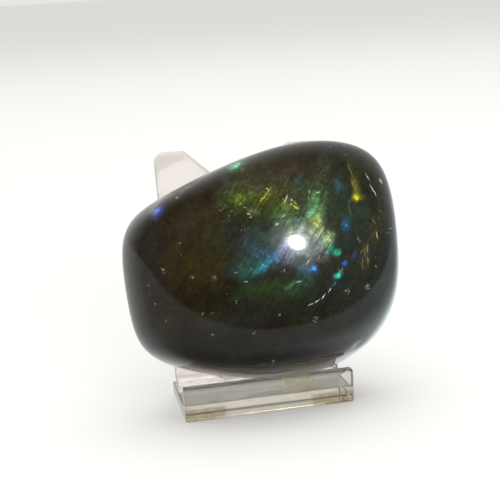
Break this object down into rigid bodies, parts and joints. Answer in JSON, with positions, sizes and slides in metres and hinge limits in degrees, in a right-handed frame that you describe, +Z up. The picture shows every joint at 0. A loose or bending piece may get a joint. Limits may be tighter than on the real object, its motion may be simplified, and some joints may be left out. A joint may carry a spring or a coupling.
{
  "type": "polished labradorite freeform on display stand",
  "caption": "Domed, flat-backed polished labradorite stone with green, teal and blue flash, leaning in a clear plastic display stand with a front lip and notched back.",
  "frame": {"origin": "middle of the underside of the stand's base, where it rests on the table", "axes": "+X to the viewer's right along the stand's width, +Y to the back, away from the face that the stone shows, +Z up"},
  "size_m": [0.0813, 0.0457, 0.0759],
  "materials": {
    "labradorite": "polished",
    "clear_plastic": "polished"
  },
  "bodies": {
    "root": {"stone": "labradorite", "stand": "clear_plastic"}
  },
  "joints": []
}
